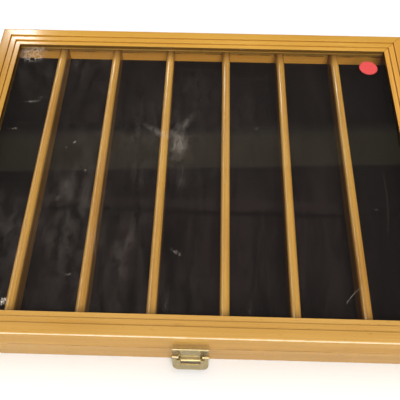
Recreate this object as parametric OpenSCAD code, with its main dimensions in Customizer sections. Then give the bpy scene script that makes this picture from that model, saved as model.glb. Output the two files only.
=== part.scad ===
// Lift top display case. A shallow wooden tray holds a lined floor with a row of rounded dividers,
// and a glazed lid with a stepped moulding is hinged along its back edge and held by a draw latch.
// Sizes are in millimetres. The origin is the middle of the footprint, latch and hinges included,
// on the surface that the case stands on. X runs left to right, Y front to back, Z up.

/* [Case] */
// Width of the woodwork, left to right
case_w = 430; // [340:1:600]
// Depth of the woodwork, front to back
case_d = 344; // [260:1:480]
// Height of the base rails
base_h = 24.5; // [22:0.5:36]
// Thickness of the base rails
base_wall = 10.8; // [10.7:0.1:14]
// Height of the lid, from the seam to its highest face
lid_h = 22.5; // [20:0.5:32]
// Thickness of the lid's wall below the glass
lid_wall = 10.4; // [9.2:0.1:10.5]
// Radius of the upright outer corners
corner_r = 1.4; // [0.5:0.1:4]
// Chamfer along the seam and along the foot of the base
arris = 0.5; // [0.2:0.1:1]

/* [Moulding] */
// Width of the lid's moulding, outer face to sight edge
mould_w = 20.8; // [19:0.1:30]
// Height of each of the two steps down towards the glass
step_h = 1.6; // [0.8:0.1:2.2]
// Width of the inner tread, beside the glass
tread_in = 5.2; // [3:0.1:7]
// Width of the middle tread
tread_mid = 5.7; // [3:0.1:7]
// Radius of the rounded outer top edge
top_round = 2.2; // [0.8:0.1:4]
// Radius of the softened lip of each tread
lip_r = 0.6; // [0.2:0.1:0.7]
// Thickness of the sight lip that covers the edge of the glass
lip_t = 3.6; // [2:0.1:5]

/* [Glazing] */
// Thickness of the glass
glass_t = 2; // [1.8:0.1:3]
// Gap between the glass and the sides of its rebate
glass_gap = 0.5; // [0.2:0.1:1]
// Height of the stops that hold the glass up
stop_h = 4; // [2.5:0.1:5]
// Distance that the stops stand back from the sight edge
stop_back = 2; // [1:0.1:3]
// Radius of the brads through the stops
brad_r = 0.5; // [0.4:0.1:0.8]
// Length of the brads through the stops
brad_l = 13; // [11:0.5:15]
// Brads in each stop
brad_n = 3; // [2:1:5]

/* [Floor] */
// Height of the floor panel's underside above the table
panel_z = 9.1; // [6:0.1:11]
// Thickness of the floor panel
panel_t = 4; // [3:0.1:4.5]
// Depth of the groove that holds the panel
groove_d = 4; // [3:0.5:5]
// Gap between the panel's edge and the bottom of its groove
panel_gap = 0.5; // [0.2:0.1:1]
// Thickness of the cloth lining
lining_t = 0.8; // [0.5:0.1:1.2]
// Gap between the lining's edge and the rails
lining_gap = 0.3; // [0.1:0.1:1]

/* [Dividers] */
// Width of a divider
divider_w = 8.4; // [7:0.1:11]
// Distance from a side rail to the centre of the nearest divider, before the shift
side_bay = 57.5; // [40:0.5:64]
// Extra width of the bay in the middle of the row
middle_extra = 1.9; // [0:0.1:6]
// Shift of the whole row of dividers, to the left where it is negative
divider_shift = -3.3; // [-6:0.1:6]
// Gap between the dividers' tops and the glass stops above them
divider_gap = 0.6; // [0.4:0.1:2]
// Distance of the divider screws from the ends of a divider
divider_screw_in = 32; // [15:1:80]

/* [Hinges] */
// Length of a hinge
hinge_len = 38; // [30:1:60]
// Distance from the side of the case to the middle of a hinge
hinge_in = 76; // [40:1:120]
// Width of a leaf in its mortise
leaf_w = 8.5; // [7:0.5:9]
// Thickness of a leaf
leaf_t = 1.2; // [1:0.1:1.6]
// Radius of the knuckles
knuckle_r = 2.2; // [2:0.1:2.6]
// Knuckles in a hinge
knuckle_n = 5; // [3:2:7]
// Gap between neighbouring knuckles
knuckle_gap = 0.25; // [0.1:0.05:0.4]
// Distance of the pin's axis behind the back face
pin_out = 1.6; // [1.3:0.1:2]
// Radius of the hinge pins
pin_r = 1; // [0.8:0.1:1.2]
// Radial clearance of every pin that turns in its hole
run_fit = 0.05; // [0.02:0.01:0.09]

/* [Screws] */
// Shank radius of the hinge screws
hinge_screw_r = 1.1; // [0.9:0.1:1.3]
// Head radius of the hinge screws
hinge_head_r = 2.1; // [1.8:0.1:2.4]
// Length of the hinge screws
hinge_screw_l = 9; // [6:0.5:12]
// Shank radius of the divider screws
floor_screw_r = 1.4; // [1:0.1:1.8]
// Head radius of the divider screws
floor_head_r = 2.8; // [2.4:0.1:3.4]
// Length of the divider screws
floor_screw_l = 13; // [9:0.5:14]
// Clearance of a screw in its hole
screw_fit = 0.05; // [0.02:0.01:0.1]

/* [Latch] */
// Position of the latch's middle along the front
latch_x = 0; // [-60:1:60]
// Width of the keeper, the claw and the lever
latch_w = 29; // [26:0.5:40]
// Thickness of the latch's sheet metal
sheet_t = 0.9; // [0.6:0.1:1.2]
// Width of the hook's neck
neck_w = 15.6; // [12:0.1:16.4]
// Distance of the lever's pivot from the front face
pivot_out = 5.6; // [5.2:0.1:6.4]
// Depth of the lever's pivot below the seam
pivot_drop = 4; // [3.5:0.1:5]
// Length of the lever from its pivot to its tip
lever_len = 15.3; // [13:0.1:17]
// Lean of the closed lever away from the front face, in degrees
lever_lean = 18.7; // [15:0.1:24]
// Radius of the lever's lower corners
lever_corner_r = 5; // [2:0.5:6]
// Depth of the lever's turned back rim
lever_rim = 1.8; // [1.2:0.1:2.2]
// Distance from the lever's pivot to the hook's pivot
hook_arm = 7.3; // [6.8:0.1:7.8]
// Height of the claw's top above the seam
claw_top = 9.9; // [9:0.1:12]
// Depth of the claw, front to back
claw_d = 3.1; // [2.6:0.1:3.6]
// Clearance between the claw and the keeper
claw_gap = 0.3; // [0.2:0.1:0.6]
// Radius of the latch's pins
latch_pin_r = 0.75; // [0.6:0.05:0.9]
// Radius of the eyes that turn on the latch's pins
eye_r = 1.5; // [1.4:0.1:1.6]
// Side gap between the latch's parts
side_gap = 0.2; // [0.1:0.05:0.4]
// Length of the latch's screws
latch_screw_l = 7; // [5:0.5:9]

/* [Hidden] */
$fn = 48;
// Dividers in the row, each its own node
divider_n = 6;
wood = "#d9a450";
brass = "#c8b26a";
steel = "#8d8f92";
cloth = "#1b1b1e";
board = "#a9865a";

// Lid levels, measured up from the seam
lip_top = lid_h - 2 * step_h;
glass_top = lip_top - lip_t;
glass_low = glass_top - glass_t;
stop_low = glass_low - stop_h;
stop_w = mould_w - stop_back - lid_wall;

// Levels of the floor
panel_top = panel_z + panel_t;
lining_top = panel_top + lining_t;
divider_top = base_h + stop_low - divider_gap;

// Inside of the base and the places of the dividers
inner_w = case_w - 2 * base_wall;
inner_d = case_d - 2 * base_wall;
divider_pitch = (inner_w - 2 * side_bay - middle_extra) / (divider_n - 1);

// Hinge knuckles
knuckle_w = (hinge_len - (knuckle_n - 1) * knuckle_gap) / knuckle_n;
hinge_x = case_w / 2 - hinge_in;
leaf_head_h = leaf_t - 0.2;

// Latch: distances out from the front face, and heights above the table
pivot_z = base_h - pivot_drop;
hook_z = pivot_z - hook_arm;
claw_z = base_h + claw_top;
claw_back = sheet_t + 0.9;
claw_front = claw_back + claw_d;
lug_in = neck_w / 2 + side_gap;
lug_w = 1.5;
ear_in = lug_in + lug_w + side_gap;
ear_w = 1.4;
eye_in = ear_in + ear_w + side_gap;
notch_len = hook_arm + 1.5;

// Reach of the latch in front of the woodwork and of the knuckles behind it
tip_y = sheet_t;
latch_reach = pivot_out + lever_len * sin(lever_lean) + tip_y * cos(lever_lean);
hinge_reach = pin_out + knuckle_r;
y_mid = (latch_reach - hinge_reach) / 2;
y_front = y_mid - case_d / 2;
y_back = y_mid + case_d / 2;

// A rectangle with rounded corners, centred
module round_rect(w, d, r) {
    square([w - 2 * r, d], center = true);
    square([w, d - 2 * r], center = true);
    for (sx = [-1, 1], sy = [-1, 1])
        translate([sx * (w / 2 - r), sy * (d / 2 - r)])
            circle(r);
}

// A 45 degree chamfer cut at a point of a profile
module arris_cut(x, y) {
    translate([x, y])
        rotate(45)
            square(arris * sqrt(2), center = true);
}

// A mitred length of a profile. The outer face is at Y = 0 and the profile runs inward along Y,
// and across is the size of the frame at right angles to this rail.
module mitred(len, across, w, r) {
    intersection() {
        rotate([90, 0, 90])
            translate([0, 0, -len / 2])
                linear_extrude(len)
                    children();
        translate([0, 0, -1])
            linear_extrude(base_h + lid_h + 2)
                intersection() {
                    polygon([[-len / 2, 0], [len / 2, 0], [len / 2 - w, w], [-len / 2 + w, w]]);
                    translate([0, across / 2])
                        round_rect(len, across, r);
                }
    }
}

// Places one side of a frame whose outer faces stand in by inset from the woodwork's
module frame_side(side, inset = 0) {
    if (side == "front")
        translate([0, y_front + inset, 0])
            children();
    if (side == "back")
        translate([0, y_back - inset, 0])
            rotate(180)
                children();
    if (side == "left")
        translate([-case_w / 2 + inset, y_mid, 0])
            rotate(-90)
                children();
    if (side == "right")
        translate([case_w / 2 - inset, y_mid, 0])
            rotate(90)
                children();
}

function side_len(side) = side == "front" || side == "back" ? case_w : case_d;
function side_across(side) = side == "front" || side == "back" ? case_d : case_w;

// A countersunk wood screw that points down, its head's top at the origin. With a fit it is
// the hole for that screw.
module wood_screw(r, head_r, head_h, len, fit = 0) {
    difference() {
        union() {
            translate([0, 0, -head_h])
                cylinder(r1 = r + fit, r2 = head_r + fit, h = head_h + fit);
            translate([0, 0, -len - fit])
                cylinder(r = r + fit, h = len - head_h + fit + 0.01);
            translate([0, 0, -len - fit - r])
                cylinder(r1 = r * 0.3, r2 = r + fit, h = r);
        }
        if (fit == 0)
            translate([-head_r - 1, -0.25, -head_h * 0.45])
                cube([2 * head_r + 2, 0.5, head_h]);
    }
}

// A pin with a low domed head that points down, its head seated at the origin
module domed_pin(r, head_r, len, fit = 0) {
    translate([0, 0, -len - fit])
        cylinder(r = r + fit, h = len + fit + 0.01);
    if (fit == 0) {
        cylinder(r = head_r, h = 0.3);
        translate([0, 0, 0.3])
            cylinder(r1 = head_r, r2 = head_r * 0.55, h = 0.4);
    }
}

// Base rails

module base_profile() {
    difference() {
        square([base_wall, base_h]);
        translate([base_wall - groove_d, panel_z])
            square([groove_d + 1, panel_t]);
        arris_cut(0, 0);
        arris_cut(0, base_h);
    }
}

module base_rail(side) {
    color(wood)
        difference() {
            frame_side(side)
                mitred(side_len(side), side_across(side), mould_w + 1, corner_r)
                    base_profile();
            if (side == "back") {
                hinge_mortises(-1);
                hinge_screws(-1, screw_fit);
            }
            if (side == "front")
                latch_base_screw_set(screw_fit);
        }
}

module floor_panel() {
    edge = base_wall - groove_d + panel_gap;
    color(board)
        difference() {
            translate([-case_w / 2 + edge, y_front + edge, panel_z])
                cube([case_w - 2 * edge, case_d - 2 * edge, panel_t]);
            divider_screw_set(screw_fit);
        }
}

module lining() {
    color(cloth)
        difference() {
            translate([-inner_w / 2 + lining_gap, y_front + base_wall + lining_gap, panel_top])
                cube([inner_w - 2 * lining_gap, inner_d - 2 * lining_gap, lining_t]);
            divider_screw_set(screw_fit);
        }
}

// Dividers

function from_middle(i) = i - (divider_n + 1) / 2;
function divider_x(i) =
    from_middle(i) * divider_pitch + sign(from_middle(i)) * middle_extra / 2 + divider_shift;

module divider_profile() {
    r = divider_w / 2;
    translate([-r, 0])
        square([divider_w, divider_top - lining_top - r]);
    translate([0, divider_top - lining_top - r])
        circle(r);
}

module divider(i) {
    color(wood)
        difference() {
            translate([divider_x(i), y_mid + inner_d / 2, lining_top])
                rotate([90, 0, 0])
                    linear_extrude(inner_d)
                        divider_profile();
            divider_screw_set(screw_fit);
        }
}

// Screws up through the floor into the dividers, two to each
module divider_screw_set(fit = 0) {
    for (i = [1 : divider_n], end = [-1, 1])
        translate([divider_x(i), y_mid + end * (inner_d / 2 - divider_screw_in), panel_z])
            rotate([180, 0, 0])
                wood_screw(floor_screw_r, floor_head_r, floor_head_r - floor_screw_r,
                           floor_screw_l, fit);
}

module divider_screws() {
    color(steel)
        divider_screw_set();
}

// Hinges. level is -1 for the base's half and 1 for the lid's half.

module at_hinge(side) {
    translate([side * hinge_x, y_back + pin_out, base_h])
        children();
}

module hinge_mortises(level) {
    for (side = [-1, 1])
        at_hinge(side) {
            translate([-hinge_len / 2, -pin_out - leaf_w, level > 0 ? -1 : -leaf_t])
                cube([hinge_len, leaf_w + pin_out, leaf_t + 1]);
            translate([-hinge_len / 2, 0, 0])
                rotate([0, 90, 0])
                    cylinder(r = knuckle_r + 0.4, h = hinge_len);
        }
}

function knuckle_x(k) = -hinge_len / 2 + k * (knuckle_w + knuckle_gap);
function is_own(k, level) = k % 2 == (level < 0 ? 0 : 1);

module hinge_leaf(side, level) {
    color(brass)
        difference() {
            at_hinge(side)
                difference() {
                    union() {
                        difference() {
                            translate([-hinge_len / 2, -pin_out - leaf_w, level > 0 ? 0 : -leaf_t])
                                cube([hinge_len, leaf_w + pin_out, leaf_t]);
                            for (k = [0 : knuckle_n - 1])
                                if (!is_own(k, level))
                                    translate([knuckle_x(k) - knuckle_gap, -knuckle_r - 0.3, -5])
                                        cube([knuckle_w + 2 * knuckle_gap, 10, 10]);
                        }
                        for (k = [0 : knuckle_n - 1])
                            if (is_own(k, level))
                                translate([knuckle_x(k), 0, 0])
                                    rotate([0, 90, 0])
                                        cylinder(r = knuckle_r, h = knuckle_w);
                    }
                    translate([-hinge_len / 2 - 1, 0, 0])
                        rotate([0, 90, 0])
                            cylinder(r = pin_r + run_fit, h = hinge_len + 2);
                }
            hinge_screws(level, screw_fit);
        }
}

module hinge_pin(side) {
    color(brass)
        at_hinge(side)
            rotate([0, 90, 0]) {
                translate([0, 0, -hinge_len / 2 - 0.2])
                    cylinder(r = pin_r, h = hinge_len + 0.4);
                for (end = [0, 1])
                    mirror([0, 0, end])
                        translate([0, 0, hinge_len / 2 + 0.1])
                            cylinder(r = pin_r * 1.5, h = 0.7);
            }
}

// Three screws to a leaf, their heads just below the leaf's face
module hinge_screws(level, fit = 0) {
    for (side = [-1, 1], i = [-1, 0, 1])
        at_hinge(side)
            translate([i * hinge_len / 3, -pin_out - leaf_w / 2, 0])
                mirror([0, 0, level > 0 ? 1 : 0])
                    translate([0, 0, -0.1])
                        wood_screw(hinge_screw_r, hinge_head_r, leaf_head_h, hinge_screw_l, fit);
}

// Lid

// A rectangle from the origin with its far top corner softened
module lipped(w, h, r) {
    square([w - r, h]);
    square([w, h - r]);
    translate([w - r, h - r])
        circle(r);
}

module lid_profile() {
    difference() {
        union() {
            difference() {
                lipped(mould_w - tread_in - tread_mid, lid_h, lip_r);
                difference() {
                    translate([-1, lid_h - top_round])
                        square([top_round + 1, top_round + 1]);
                    translate([top_round, lid_h - top_round])
                        circle(top_round);
                }
            }
            lipped(mould_w - tread_in, lid_h - step_h, lip_r);
            lipped(mould_w, lip_top, lip_r);
        }
        translate([lid_wall, -1])
            square([mould_w, glass_top + 1]);
        arris_cut(0, 0);
    }
}

module lid_moulding(side) {
    color(wood)
        difference() {
            translate([0, 0, base_h])
                frame_side(side)
                    mitred(side_len(side), side_across(side), mould_w + 1, corner_r)
                        lid_profile();
            if (side == "back") {
                hinge_mortises(1);
                hinge_screws(1, screw_fit);
            }
            if (side == "front")
                keeper_pin_set(screw_fit);
            glass_brads(side, screw_fit);
        }
}

module glass_pane() {
    edge = lid_wall + glass_gap;
    color([0.85, 0.92, 0.9, 0.35])
        translate([-case_w / 2 + edge, y_front + edge, base_h + glass_low])
            cube([case_w - 2 * edge, case_d - 2 * edge, glass_t]);
}

module glass_stop(side) {
    color(wood)
        difference() {
            translate([0, 0, base_h])
                frame_side(side, lid_wall)
                    mitred(side_len(side) - 2 * lid_wall, side_across(side) - 2 * lid_wall,
                           stop_w + 1, 0.01)
                        stop_profile();
            glass_brads(side, screw_fit);
        }
}

// A strip with its lower inner corner rounded over
module stop_profile() {
    r = min(stop_w, stop_h) * 0.45;
    translate([0, stop_low + stop_h])
        mirror([0, 1])
            lipped(stop_w, stop_h, r);
}

// Brads driven through the stops into the lid's wall
module glass_brads(side, fit = 0) {
    span = side_len(side) - 2 * lid_wall;
    frame_side(side, lid_wall + stop_w)
        for (i = [1 : brad_n])
            translate([(i / (brad_n + 1) - 0.5) * span, 0, base_h + stop_low + stop_h * 0.5])
                rotate([90, 0, 0])
                    translate([0, 0, -0.01])
                        cylinder(r = brad_r + fit, h = brad_l + fit);
}

module glass_stop_brads() {
    color(steel)
        for (side = ["front", "back", "left", "right"])
            glass_brads(side);
}

// Latch. Profiles are drawn as distance out from the front face and height above the table.

module latch_across(w, x = 0) {
    translate([latch_x + x, y_front, 0])
        mirror([0, 1, 0])
            rotate([90, 0, 90])
                translate([0, 0, -w / 2])
                    linear_extrude(w)
                        children();
}

// The same profile on both sides of the latch, from an inner distance to an outer one
module latch_pair(from, to) {
    for (s = [-1, 1])
        latch_across(to - from, s * (from + to) / 2)
            children();
}

module latch_base_plate() {
    foot = 5;
    color(brass)
        difference() {
            union() {
                latch_across(latch_w - 1)
                    translate([0, foot])
                        square([sheet_t, pivot_z + eye_r - foot]);
                latch_pair(ear_in, ear_in + ear_w) {
                    translate([0, pivot_z - eye_r])
                        square([pivot_out, 2 * eye_r]);
                    translate([pivot_out, pivot_z])
                        circle(eye_r);
                }
            }
            latch_pair(ear_in - 1, ear_in + ear_w + 1)
                translate([pivot_out, pivot_z])
                    circle(latch_pin_r + run_fit);
            latch_base_screw_set(screw_fit);
        }
}

// Stub pins on which the lever turns, one on each side of the hook's neck
module latch_pivot_pins() {
    far = latch_w / 2;
    color(brass) {
        latch_pair(ear_in - 0.1, far)
            translate([pivot_out, pivot_z])
                circle(latch_pin_r);
        latch_pair(far, far + 0.5)
            translate([pivot_out, pivot_z])
                circle(latch_pin_r * 1.6);
    }
}

module latch_base_screw_set(fit = 0) {
    for (s = [-1, 1])
        translate([latch_x + s * (latch_w / 2 - 5.5), y_front - sheet_t, 8.5])
            rotate([90, 0, 0])
                domed_pin(0.9, 1.7, latch_screw_l, fit);
}

module latch_base_screws() {
    color(brass)
        latch_base_screw_set();
}

// The keeper on the lid: a plate whose top edge is turned out to carry the claw
module latch_keeper() {
    low = base_h + 1.2;
    high = claw_z - sheet_t - claw_gap;
    color(brass)
        difference() {
            latch_across(latch_w - 0.6) {
                translate([0, low])
                    square([sheet_t, high - low]);
                translate([0, high - sheet_t])
                    square([claw_front - sheet_t - claw_gap, sheet_t]);
            }
            keeper_pin_set(screw_fit);
        }
}

module keeper_pin_set(fit = 0) {
    for (s = [-1, 1])
        translate([latch_x + s * (latch_w / 2 - 2.6), y_front - sheet_t, base_h + 3.2])
            rotate([90, 0, 0])
                domed_pin(0.6, 1.2, latch_screw_l, fit);
}

module latch_keeper_pins() {
    color(brass)
        keeper_pin_set();
}

// The hook: a wide claw over the keeper, a neck with a raised border, and a rolled eye
module latch_hook() {
    neck_top = claw_z - sheet_t;
    lean = atan((pivot_out - claw_front + sheet_t / 2) / (neck_top - hook_z));
    claw_side = 2.5;
    rib_w = 1.3;
    rib_low = (neck_top - hook_z) * 0.4;
    color(brass)
        difference() {
            union() {
                latch_across(latch_w) {
                    translate([claw_back, claw_z - sheet_t])
                        square([claw_d - sheet_t, sheet_t]);
                    translate([claw_front - sheet_t, claw_z - sheet_t])
                        intersection() {
                            circle(sheet_t);
                            square(sheet_t);
                        }
                    translate([claw_front - sheet_t, claw_z - claw_side])
                        square([sheet_t, claw_side - sheet_t]);
                }
                latch_across(neck_w)
                    neck_profile(lean, claw_front - sheet_t / 2, neck_top);
                latch_pair(neck_w / 2 - rib_w, neck_w / 2)
                    rib_profile(lean, rib_low);
                latch_across(neck_w)
                    rib_profile(lean, rib_low, rib_low + rib_w);
                latch_across(neck_w)
                    translate([pivot_out, hook_z])
                        circle(eye_r);
            }
            latch_across(neck_w + 2)
                translate([pivot_out, hook_z])
                    circle(latch_pin_r + run_fit);
        }
}

// The neck's sheet, from the eye up to the claw
module neck_profile(lean, top_out, top_z) {
    translate([pivot_out, hook_z])
        rotate(lean)
            translate([-sheet_t / 2, 0])
                square([sheet_t, (top_z - hook_z) / cos(lean)]);
}

// The neck's raised border, between two distances from the eye
module rib_profile(lean, from, to = 0) {
    full = claw_z - 2.5 - hook_z;
    end = to > 0 ? to : full;
    translate([pivot_out, hook_z])
        rotate(lean)
            translate([0, from])
                square([sheet_t / 2 + 0.5, end - from]);
}

// The lever's own frame: its pivot at the origin, the lever hanging straight down from it
module at_lever() {
    translate([latch_x, y_front - pivot_out, pivot_z])
        rotate([-lever_lean, 0, 0])
            children();
}

// The lever's outline, seen from the front
module lever_outline(inset = 0) {
    half = latch_w / 2 - inset;
    r = max(lever_corner_r - inset, 0.5);
    translate([-half, -lever_len + inset + r])
        square([2 * half, lever_len - inset - r + eye_r * 0.2]);
    translate([-half + r, -lever_len + inset])
        square([2 * (half - r), r + 0.01]);
    for (s = [-1, 1])
        translate([s * (half - r), -lever_len + inset + r])
            circle(r);
}

// The notch that lets the neck through, a little narrower at its foot
module lever_notch() {
    top = ear_in + ear_w + side_gap;
    foot = lug_in;
    polygon([[-top, 3], [-top, -2 * eye_r], [-foot - 0.5, -2 * eye_r - 0.5], [-foot, -notch_len],
             [foot, -notch_len], [foot + 0.5, -2 * eye_r - 0.5], [top, -2 * eye_r], [top, 3]]);
}

module latch_lever() {
    lug_z = -hook_arm * cos(lever_lean);
    lug_y = hook_arm * sin(lever_lean);
    color(brass)
        difference() {
            union() {
                at_lever() {
                    // face
                    rotate([90, 0, 0])
                        linear_extrude(sheet_t)
                            difference() {
                                lever_outline();
                                lever_notch();
                            }
                    // rim, turned back towards the case
                    rotate([90, 0, 0])
                        translate([0, 0, -lever_rim])
                            linear_extrude(lever_rim + 0.01)
                                difference() {
                                    lever_outline();
                                    lever_outline(sheet_t);
                                    translate([-latch_w, -2 * eye_r])
                                        square([2 * latch_w, 4 * eye_r]);
                                }
                    // eyes on the pivot pins
                    for (s = [-1, 1])
                        translate([s * (eye_in + latch_w / 2) / 2, 0, 0])
                            rotate([0, 90, 0])
                                cylinder(r = eye_r, h = latch_w / 2 - eye_in, center = true);
                    // lugs for the hook's pin
                    for (s = [-1, 1])
                        translate([s * (lug_in + lug_w / 2), 0, 0]) {
                            translate([0, lug_y, lug_z])
                                rotate([0, 90, 0])
                                    cylinder(r = eye_r, h = lug_w, center = true);
                            translate([-lug_w / 2, -0.01, lug_z - eye_r])
                                cube([lug_w, lug_y + 0.01, 2 * eye_r]);
                        }
                }
            }
            at_lever()
                rotate([0, 90, 0])
                    cylinder(r = latch_pin_r + run_fit, h = latch_w + 2, center = true);
            at_lever()
                translate([0, lug_y, lug_z])
                    rotate([0, 90, 0])
                        cylinder(r = latch_pin_r + run_fit, h = latch_w, center = true);
        }
}

module latch_hook_pin() {
    color(brass)
        latch_across(2 * (lug_in + lug_w) + 0.4)
            translate([pivot_out, hook_z])
                circle(latch_pin_r);
}

base_rail("front");  // base_front_rail
base_rail("back");  // base_back_rail
base_rail("left");  // base_left_rail
base_rail("right");  // base_right_rail
floor_panel();
lining();
divider(1);  // divider_1
divider(2);  // divider_2
divider(3);  // divider_3
divider(4);  // divider_4
divider(5);  // divider_5
divider(6);  // divider_6
divider_screws();
hinge_leaf(-1, -1);  // hinge_left_base_leaf
hinge_leaf(1, -1);  // hinge_right_base_leaf
hinge_pin(-1);  // hinge_left_pin
hinge_pin(1);  // hinge_right_pin
color(brass) hinge_screws(-1);  // hinge_base_screws
lid_moulding("front");  // lid_front_moulding
lid_moulding("back");  // lid_back_moulding
lid_moulding("left");  // lid_left_moulding
lid_moulding("right");  // lid_right_moulding
glass_pane();
glass_stop("front");  // glass_stop_front
glass_stop("back");  // glass_stop_back
glass_stop("left");  // glass_stop_left
glass_stop("right");  // glass_stop_right
glass_stop_brads();
hinge_leaf(-1, 1);  // hinge_left_lid_leaf
hinge_leaf(1, 1);  // hinge_right_lid_leaf
color(brass) hinge_screws(1);  // hinge_lid_screws
latch_base_plate();
latch_base_screws();
latch_pivot_pins();
latch_keeper();
latch_keeper_pins();
latch_lever();
latch_hook_pin();
latch_hook();
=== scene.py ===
"""Lift top display case: a shallow lined tray of honey coloured wood under a glass lid.

The packed case is loaded first and stays as it is. Each button of the add-on finishes one group
of its pieces: varnished rails and mouldings, the row of dividers, the creased cloth, the worn
glass, the brass latch and hinges, the screws, and the paper dot stuck on the glass.
"""
import math

import bmesh
import bpy
from bpy.props import (FloatProperty, FloatVectorProperty, IntProperty, PointerProperty)
from bpy.types import Operator, Panel, PropertyGroup
from mathutils import Matrix, Vector, noise


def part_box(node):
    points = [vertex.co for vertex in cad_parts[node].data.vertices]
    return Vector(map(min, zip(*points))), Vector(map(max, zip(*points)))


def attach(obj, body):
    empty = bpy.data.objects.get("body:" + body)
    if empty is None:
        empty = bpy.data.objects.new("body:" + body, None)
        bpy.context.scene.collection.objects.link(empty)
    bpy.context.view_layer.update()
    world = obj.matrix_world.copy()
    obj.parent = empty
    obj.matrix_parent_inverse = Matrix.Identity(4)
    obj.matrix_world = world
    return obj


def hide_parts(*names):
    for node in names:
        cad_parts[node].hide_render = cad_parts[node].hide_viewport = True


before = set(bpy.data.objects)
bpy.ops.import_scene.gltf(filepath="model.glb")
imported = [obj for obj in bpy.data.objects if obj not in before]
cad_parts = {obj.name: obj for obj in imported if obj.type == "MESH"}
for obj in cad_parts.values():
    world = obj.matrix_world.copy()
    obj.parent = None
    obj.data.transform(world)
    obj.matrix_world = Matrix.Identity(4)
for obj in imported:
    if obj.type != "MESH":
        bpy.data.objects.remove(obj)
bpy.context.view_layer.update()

bl_info = {
    "name": "Lift Top Display Case",
    "version": (1, 0, 0),
    "blender": (4, 5, 0),
    "location": "3D View > Sidebar > Display Case",
    "description": "Finishes a packed display case: wood, cloth, glass, brass, screws and stage",
    "category": "Object",
}

SIDES = ("front", "back", "left", "right")
BASE_RAILS = [f"base_{side}_rail" for side in SIDES]
LID_MOULDINGS = [f"lid_{side}_moulding" for side in SIDES]
GLASS_STOPS = [f"glass_stop_{side}" for side in SIDES]
DIVIDERS = [f"divider_{i}" for i in range(1, 7)]
HINGE_LEAVES = [f"hinge_{side}_{part}" for side in ("left", "right")
                for part in ("base_leaf", "lid_leaf", "pin")]
LATCH_PARTS = ["latch_base_plate", "latch_base_screws", "latch_pivot_pins", "latch_keeper",
               "latch_keeper_pins", "latch_lever", "latch_hook_pin", "latch_hook"]


def around(names):
    """The lowest and highest corners of the box round several nodes."""
    lows, highs = zip(*(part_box(name) for name in names))
    return Vector(map(min, *lows)), Vector(map(max, *highs))


MM = 1000.0     # millimetres in a metre: materials measure in millimetres
CASE_LOW, CASE_HIGH = around(BASE_RAILS + LID_MOULDINGS)
MIDDLE = (CASE_LOW + CASE_HIGH) / 2
HALF_WIDTH, HALF_DEPTH = (CASE_HIGH - CASE_LOW).x / 2, (CASE_HIGH - CASE_LOW).y / 2
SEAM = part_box("lid_front_moulding")[0][2]
GLASS_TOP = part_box("glass_pane")[1][2]
DIVIDER_LEFTS = [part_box(name)[0][0] for name in DIVIDERS]
DIVIDER_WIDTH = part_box("divider_1")[1][0] - DIVIDER_LEFTS[0]
DIVIDER_PITCH = DIVIDER_LEFTS[1] - DIVIDER_LEFTS[0]
DIVIDER_MIDDLES = [(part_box(name)[0][0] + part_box(name)[1][0]) / 2 for name in DIVIDERS]


# Settings

def colour(name, description, default):
    """A colour setting."""
    return FloatVectorProperty(name=name, description=description, subtype="COLOR", size=4,
                               min=0, max=1, default=(*default, 1))


def length(name, description, default, low=0.0, high=1.0):
    """A length setting, in metres."""
    return FloatProperty(name=name, description=description, unit="LENGTH", precision=5,
                         min=low, max=high, default=default)


def amount(name, description, default, high=1.0):
    """A setting from nothing to high."""
    return FloatProperty(name=name, description=description, subtype="FACTOR", min=0, max=high,
                         default=default)


def angle(name, description, degrees):
    """An angle setting."""
    return FloatProperty(name=name, description=description, subtype="ANGLE",
                         default=math.radians(degrees))


def level(name, description, default, high=20.0):
    """The strength of a light."""
    return FloatProperty(name=name, description=description, min=0, max=high, default=default)


class DISPLAYCASE_PG_wood(PropertyGroup):
    """Varnished wood of the rails, mouldings, stops and dividers"""
    pale: colour("Pale Wood", "Wood between the growth streaks", (0.71, 0.41, 0.102))
    dark: colour("Dark Streaks", "Growth streaks of the wood", (0.54, 0.275, 0.049))
    divider_pale: colour("Divider Pale", "Pale wood of the dividers", (0.84, 0.46, 0.100))
    divider_dark: colour("Divider Dark", "Growth streaks of the dividers", (0.42, 0.175, 0.026))
    # This colour also paints shade at the foot of each step, under the inner lip, and on the
    # dividers' ends and flanks.
    line: colour("Line Dirt And Painted Shade", "Dirt and thick varnish in corners and mitres", (0.20, 0.07, 0.009))
    # This pale colour is worn varnish and also a painted highlight along the front arris.
    rubbed: colour("Rubbed Edge And Painted Highlight", "Wood where the varnish is worn thin", (0.97, 0.84, 0.60))
    streak: length("Streak Width", "Distance between two growth streaks", 0.0012, 0.0002, 0.02)
    line_width: length("Line Width", "Width of the dirt in a corner", 0.00042, 0.0, 0.003)
    flecks: amount("Flecks", "How dark the short flecks along the grain are", 0.55)


class DISPLAYCASE_PG_dividers(PropertyGroup):
    """Row of round-topped dividers"""
    count: IntProperty(name="Count", description="Dividers in the row", min=1, max=20, default=6)
    width: length("Width", "Width of a divider", DIVIDER_WIDTH, 0.002, 0.03)
    height: length("Height", "Height of a divider above the cloth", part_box("divider_1")[1][2]
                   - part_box("divider_1")[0][2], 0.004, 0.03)
    pitch: length("Pitch", "Distance between the middles of two dividers", DIVIDER_PITCH,
                  0.01, 0.2)
    extra: length("Middle Extra", "Extra width of the bay in the middle of the row",
                  DIVIDER_LEFTS[3] - DIVIDER_LEFTS[2] - DIVIDER_PITCH, 0.0, 0.02)


class DISPLAYCASE_PG_cloth(PropertyGroup):
    """Thin black cloth on the floor of the tray"""
    black: colour("Black", "Colour of the threads", (0.0038, 0.0024, 0.0023))
    lint: colour("Lint", "Colour of dust and lint on the cloth", (0.22, 0.20, 0.19))
    cell: length("Cell", "Spacing of the cloth's points", 0.0022, 0.001, 0.01)
    thickness: length("Thickness", "Thickness of the cloth", 0.0006, 0.0001, 0.002)
    lift: length("Lift", "How high the cloth stands off the floor between folds", 0.0007, 0, 0.003)
    fold_width: length("Fold Width", "Width of a pressed fold", 0.0042, 0.001, 0.02)


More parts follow.
